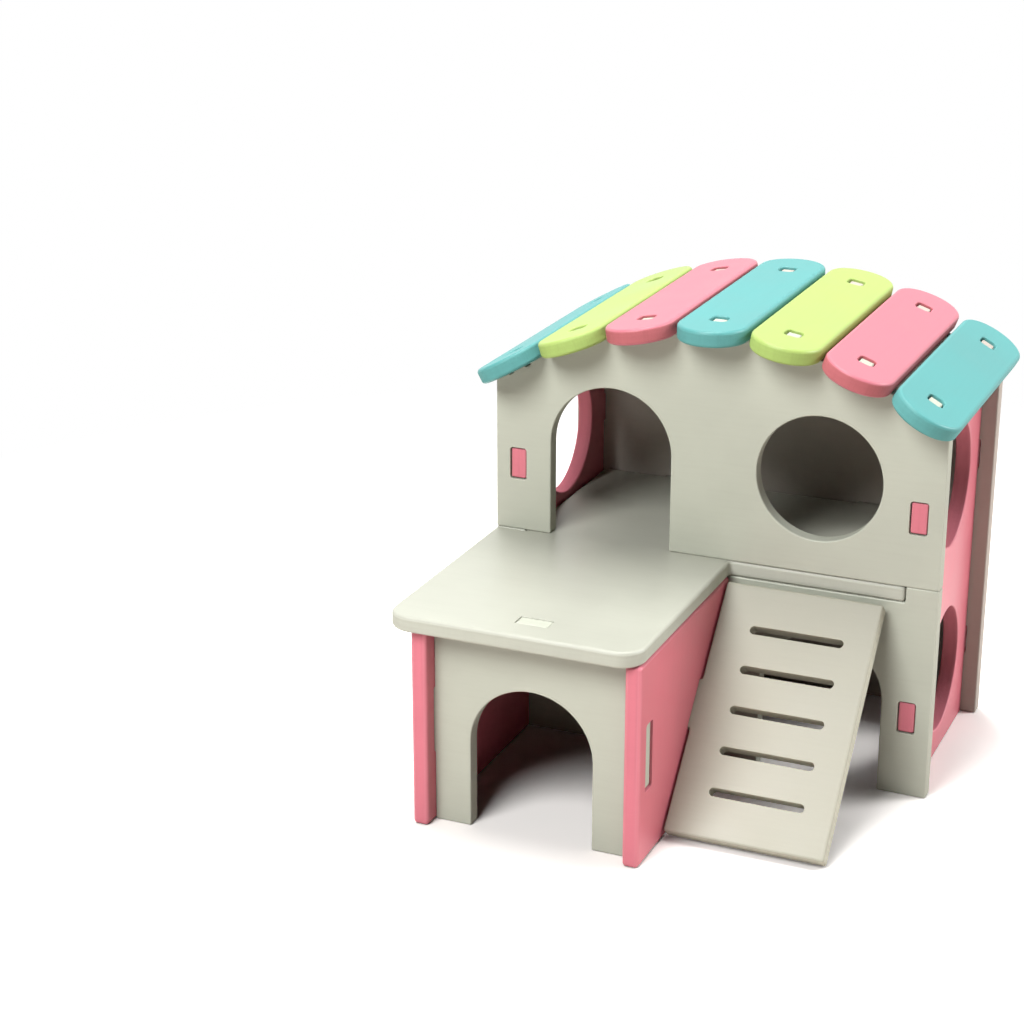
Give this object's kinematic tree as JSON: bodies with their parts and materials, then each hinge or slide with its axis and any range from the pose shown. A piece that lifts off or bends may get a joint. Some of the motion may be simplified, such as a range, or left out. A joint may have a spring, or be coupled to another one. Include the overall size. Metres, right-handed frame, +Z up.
{
  "type": "wooden hamster house",
  "caption": "Two-storey play house for a hamster, plugged together from painted boards, with a curved slatted roof, a balcony over a porch, and a ladder.",
  "frame": {"origin": "on the ground, at the middle of the whole outline seen from above", "axes": "+X to the right of the front, +Y to the back, +Z up"},
  "size_m": [0.1526, 0.1682, 0.144],
  "materials": {
    "wall_grey": "painted satin",
    "floor_cream": "painted satin",
    "panel_pink": "painted satin",
    "slat_pink": "painted satin",
    "slat_teal": "painted satin",
    "slat_green": "painted satin"
  },
  "bodies": {
    "house": {"front_wall_upper": "wall_grey", "front_wall_lower": "wall_grey", "back_wall": "wall_grey", "side_panel_left": "panel_pink", "side_panel_right": "panel_pink", "floor_board": "floor_cream", "porch_side_left": "panel_pink", "porch_side_right": "panel_pink", "porch_front": "wall_grey"},
    "ladder": {"ladder": "floor_cream"},
    "slat_1": {"roof_slat_1": "slat_teal"},
    "slat_2": {"roof_slat_2": "slat_green"},
    "slat_3": {"roof_slat_3": "slat_pink"},
    "slat_4": {"roof_slat_4": "slat_teal"},
    "slat_5": {"roof_slat_5": "slat_green"},
    "slat_6": {"roof_slat_6": "slat_pink"},
    "slat_7": {"roof_slat_7": "slat_teal"}
  },
  "joints": [
    {"name": "ladder_pull_out", "type": "slide", "parent": "house", "child": "ladder", "axis": [1, 0, 0], "range_m": [0, 0.02]},
    {"name": "slat_1_lift_off", "type": "slide", "parent": "house", "child": "slat_1", "axis": [-0.4876, 0, 0.8731], "range_m": [0, 0.012]},
    {"name": "slat_2_lift_off", "type": "slide", "parent": "house", "child": "slat_2", "axis": [-0.3331, 0, 0.9429], "range_m": [0, 0.012]},
    {"name": "slat_3_lift_off", "type": "slide", "parent": "house", "child": "slat_3", "axis": [-0.169, 0, 0.9856], "range_m": [0, 0.012]},
    {"name": "slat_4_lift_off", "type": "slide", "parent": "house", "child": "slat_4", "axis": [0, 0, 1], "range_m": [0, 0.012]},
    {"name": "slat_5_lift_off", "type": "slide", "parent": "house", "child": "slat_5", "axis": [0.169, 0, 0.9856], "range_m": [0, 0.012]},
    {"name": "slat_6_lift_off", "type": "slide", "parent": "house", "child": "slat_6", "axis": [0.3331, 0, 0.9429], "range_m": [0, 0.012]},
    {"name": "slat_7_lift_off", "type": "slide", "parent": "house", "child": "slat_7", "axis": [0.4876, 0, 0.8731], "range_m": [0, 0.012]}
  ]
}
